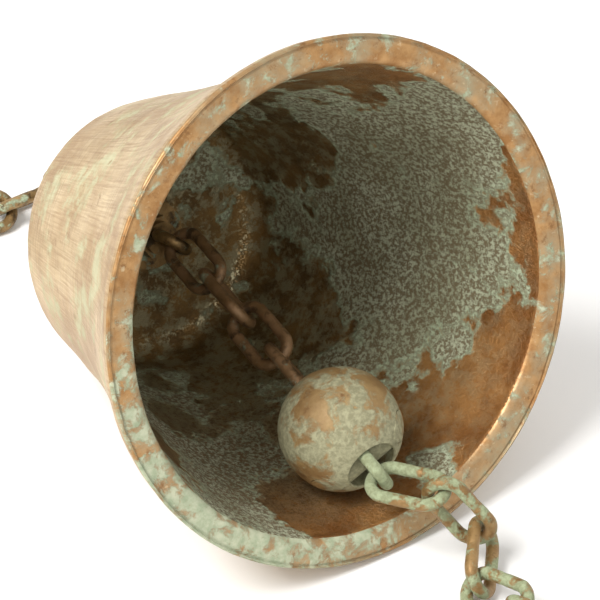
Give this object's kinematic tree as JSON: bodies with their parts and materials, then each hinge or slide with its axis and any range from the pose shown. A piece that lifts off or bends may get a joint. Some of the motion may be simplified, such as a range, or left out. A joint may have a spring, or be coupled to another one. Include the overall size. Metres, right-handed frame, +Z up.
{
  "type": "ship bell",
  "caption": "Cast ship bell lying on its side, with a ball clapper on a link chain, a pull chain ending in a ring, and a crown eye with a hanging chain and ring.",
  "frame": {"origin": "On the surface the bell lies on, under the middle of the whole object, at the bottom centre of its box.", "axes": "+Y runs along the bell from its mouth, which faces -Y, to its crown and is the longest side of the box. +Z is up from the surface. +X is to the right when looking along +Y."},
  "size_m": [0.102, 0.2328, 0.0982],
  "materials": {
    "bell_bronze": "cast brass, brushed and weathered, with verdigris",
    "ball_brass": "cast brass with pale verdigris",
    "clapper_chain": "darkened brass wire",
    "pull_chain": "brass wire with pale verdigris",
    "hanging_chain": "aged brass wire with verdigris",
    "ring_brass": "aged brass",
    "dark_fittings": "darkened brass"
  },
  "bodies": {
    "bell": {"bell_cup": "bell_bronze", "crown_eye_bolt": "dark_fittings", "outer_washer": "dark_fittings", "inner_washer": "dark_fittings", "crown_nut": "dark_fittings", "inner_eye": "dark_fittings"},
    "clapper_link_1": {"clapper_link_1": "clapper_chain"},
    "clapper_link_2": {"clapper_link_2": "clapper_chain"},
    "clapper_link_3": {"clapper_link_3": "clapper_chain"},
    "clapper_link_4": {"clapper_link_4": "clapper_chain"},
    "clapper_link_5": {"clapper_link_5": "clapper_chain"},
    "ball": {"ball_link": "pull_chain", "clapper_ball": "ball_brass", "ball_pin": "dark_fittings"},
    "pull_link_1": {"pull_link_1": "pull_chain"},
    "pull_link_2": {"pull_link_2": "pull_chain"},
    "pull_link_3": {"pull_link_3": "pull_chain"},
    "pull_link_4": {"pull_link_4": "pull_chain"},
    "pull_link_5": {"pull_link_5": "pull_chain"},
    "pull_link_6": {"pull_link_6": "pull_chain"},
    "pull_link_7": {"pull_link_7": "pull_chain"},
    "pull_ring": {"pull_ring": "ring_brass"},
    "hanging_link_1": {"hanging_link_1": "hanging_chain"},
    "hanging_link_2": {"hanging_link_2": "hanging_chain"},
    "hanging_link_3": {"hanging_link_3": "hanging_chain"},
    "hanging_link_4": {"hanging_link_4": "hanging_chain"},
    "hanging_link_5": {"hanging_link_5": "hanging_chain"},
    "hanging_link_6": {"hanging_link_6": "hanging_chain"},
    "hanging_link_7": {"hanging_link_7": "hanging_chain"},
    "hanging_ring": {"hanging_ring": "ring_brass"}
  },
  "joints": [
    {"name": "clapper_link_1_hinge", "type": "hinge", "parent": "bell", "child": "clapper_link_1", "pos_m": [0.00079, 0.02393, 0.03079], "axis": [-0.6636, -0.145, 0.7339], "range_deg": [0, 18]},
    {"name": "clapper_link_2_hinge", "type": "hinge", "parent": "clapper_link_1", "child": "clapper_link_2", "pos_m": [0.00063, 0.01189, 0.02826], "axis": [-0.748, 0.1464, -0.6473], "range_deg": [0, 18]},
    {"name": "clapper_link_3_hinge", "type": "hinge", "parent": "clapper_link_2", "child": "clapper_link_3", "pos_m": [0.00046, -0.00015, 0.02573], "axis": [-0.6317, -0.151, 0.7604], "range_deg": [0, 15]},
    {"name": "clapper_link_4_hinge", "type": "hinge", "parent": "clapper_link_3", "child": "clapper_link_4", "pos_m": [0.00029, -0.01218, 0.0232], "axis": [-0.8009, 0.1338, -0.5837], "range_deg": [0, 15]},
    {"name": "clapper_link_5_hinge", "type": "hinge", "parent": "clapper_link_4", "child": "clapper_link_5", "pos_m": [0.00013, -0.02422, 0.02067], "axis": [-0.5646, -0.1622, 0.8093], "range_deg": [0, 12]},
    {"name": "ball_hinge", "type": "hinge", "parent": "clapper_link_5", "child": "ball", "pos_m": [-0.00004, -0.03625, 0.01815], "axis": [0.8482, -0.1202, 0.5159], "range_deg": [-2, 2]},
    {"name": "pull_link_1_hinge", "type": "hinge", "parent": "ball", "child": "pull_link_1", "pos_m": [-0.00021, -0.04829, 0.01562], "axis": [-0.4935, -0.1723, 0.8525], "range_deg": [-30, 30]},
    {"name": "pull_link_2_hinge", "type": "hinge", "parent": "pull_link_1", "child": "pull_link_2", "pos_m": [0.00552, -0.05911, 0.01675], "axis": [-0.8442, -0.4734, -0.2513], "range_deg": [-30, 30]},
    {"name": "pull_link_3_hinge", "type": "hinge", "parent": "pull_link_2", "child": "pull_link_3", "pos_m": [0.0112, -0.06409, 0.00704], "axis": [-0.48, 0.6345, -0.6058], "range_deg": [-30, 30]},
    {"name": "pull_link_4_hinge", "type": "hinge", "parent": "pull_link_3", "child": "pull_link_4", "pos_m": [0.00329, -0.073, 0.00398], "axis": [0.4972, -0.1476, -0.855], "range_deg": [-30, 30]},
    {"name": "pull_link_5_hinge", "type": "hinge", "parent": "pull_link_4", "child": "pull_link_5", "pos_m": [0.00481, -0.08485, 0.0069], "axis": [0.7154, 0.2525, 0.6515], "range_deg": [-30, 30]},
    {"name": "pull_link_6_hinge", "type": "hinge", "parent": "pull_link_5", "child": "pull_link_6", "pos_m": [0.01125, -0.09482, 0.00369], "axis": [-0.3731, -0.4938, 0.7855], "range_deg": [-30, 30]},
    {"name": "pull_link_7_hinge", "type": "hinge", "parent": "pull_link_6", "child": "pull_link_7", "pos_m": [0.02165, -0.10133, 0.00454], "axis": [-0.3981, -0.7105, -0.5802], "range_deg": [-30, 30]},
    {"name": "pull_ring_hinge", "type": "hinge", "parent": "pull_link_7", "child": "pull_ring", "pos_m": [0.03248, -0.10715, 0.00423], "axis": [0.2999, 0.5981, -0.7432], "range_deg": [-2.5, 20]},
    {"name": "hanging_link_1_hinge", "type": "hinge", "parent": "bell", "child": "hanging_link_1", "pos_m": [0, 0.05356, 0.02294], "axis": [0.0872, 0.2801, 0.956], "range_deg": [-35, 35]},
    {"name": "hanging_link_2_hinge", "type": "hinge", "parent": "hanging_link_1", "child": "hanging_link_2", "pos_m": [0.00669, 0.06425, 0.0192], "axis": [0.8597, -0.4609, 0.2203], "range_deg": [-35, 35]},
    {"name": "hanging_link_3_hinge", "type": "hinge", "parent": "hanging_link_2", "child": "hanging_link_3", "pos_m": [0.01346, 0.07495, 0.01513], "axis": [0.1542, -0.4347, -0.8873], "range_deg": [-35, 35]},
    {"name": "hanging_link_4_hinge", "type": "hinge", "parent": "hanging_link_3", "child": "hanging_link_4", "pos_m": [0.01167, 0.08666, 0.00908], "axis": [-0.9595, -0.2307, -0.1617], "range_deg": [-35, 35]},
    {"name": "hanging_link_5_hinge", "type": "hinge", "parent": "hanging_link_4", "child": "hanging_link_5", "pos_m": [0.00944, 0.099, 0.00467], "axis": [-0.0308, 0.3314, 0.943], "range_deg": [-35, 35]},
    {"name": "hanging_link_6_hinge", "type": "hinge", "parent": "hanging_link_5", "child": "hanging_link_6", "pos_m": [-0.00385, 0.09901, 0.00423], "axis": [0.0203, 0.8002, -0.5994], "range_deg": [-35, 35]},
    {"name": "hanging_link_7_hinge", "type": "hinge", "parent": "hanging_link_6", "child": "hanging_link_7", "pos_m": [-0.01711, 0.09979, 0.00482], "axis": [-0.0729, -0.8119, -0.5792], "range_deg": [-35, 35]},
    {"name": "hanging_ring_hinge", "type": "hinge", "parent": "hanging_link_7", "child": "hanging_ring", "pos_m": [-0.03035, 0.10108, 0.00466], "axis": [-0.0795, -0.7306, 0.6782], "range_deg": [-10, 20]}
  ]
}
